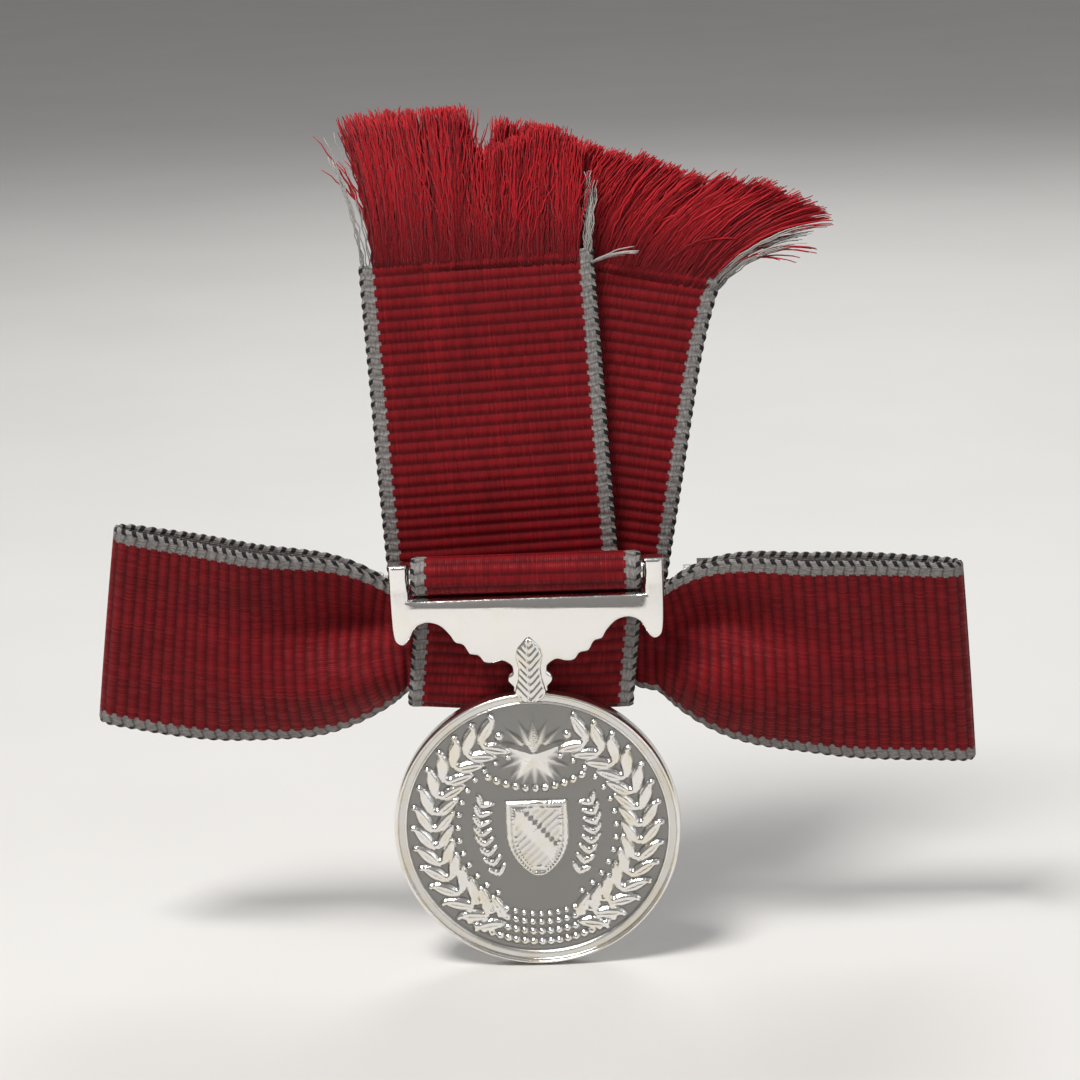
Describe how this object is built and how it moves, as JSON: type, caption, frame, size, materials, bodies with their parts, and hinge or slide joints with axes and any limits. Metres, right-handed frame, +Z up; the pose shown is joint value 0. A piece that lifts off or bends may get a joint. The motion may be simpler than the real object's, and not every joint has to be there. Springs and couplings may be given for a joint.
{
  "type": "miniature service medal on a ribbon bow",
  "caption": "Miniature silver service medal swinging from a pinched crimson grosgrain bow with raised, frayed tails and a safety brooch behind it.",
  "frame": {"origin": "centre of the brooch bar's rear face, the face that lies on the garment", "axes": "+Z up as worn, +Y towards the garment so the front faces -Y, and +X to the viewer's right"},
  "size_m": [0.0618, 0.0174, 0.0597],
  "materials": {
    "silver": "struck silver, bright rim and relief on a satin field",
    "ribbon": "ribbed crimson grosgrain with grey woven selvedges",
    "fringe": "loose silky warp threads",
    "felt": "dense wool felt",
    "thread": "twisted sewing thread",
    "brooch_metal": "nickel plated, lightly brushed"
  },
  "bodies": {
    "bow": {"centre_band": "ribbon", "bow_ribbon": "ribbon", "tail_left": "ribbon", "tail_right": "ribbon", "tail_left_fringe": "fringe", "tail_right_fringe": "fringe", "backing_pad": "felt", "upper_stitching": "thread", "lower_stitching": "thread", "brooch_bar": "brooch_metal", "hinge_bracket": "brooch_metal", "hinge_rivet": "brooch_metal", "catch_base": "brooch_metal"},
    "medal": {"medal_disc": "silver", "suspender_frame": "silver", "leaf_claw": "silver", "ribbon_bar": "silver"},
    "pin": {"brooch_pin": "brooch_metal"},
    "roller": {"catch_roller": "brooch_metal"}
  },
  "joints": [
    {"name": "medal_swing", "type": "hinge", "parent": "bow", "child": "medal", "pos_m": [0, -0.0095, 0.00555], "axis": [-1, 0, 0], "range_deg": [0, 100]},
    {"name": "pin_hinge", "type": "hinge", "parent": "bow", "child": "pin", "pos_m": [-0.012, 0.005, 0], "axis": [0, 0, 1], "range_deg": [0, 100]},
    {"name": "catch_turn", "type": "hinge", "parent": "bow", "child": "roller", "pos_m": [0.0121, 0.005, 0], "axis": [-1, 0, 0], "range_deg": [0, 110]}
  ]
}
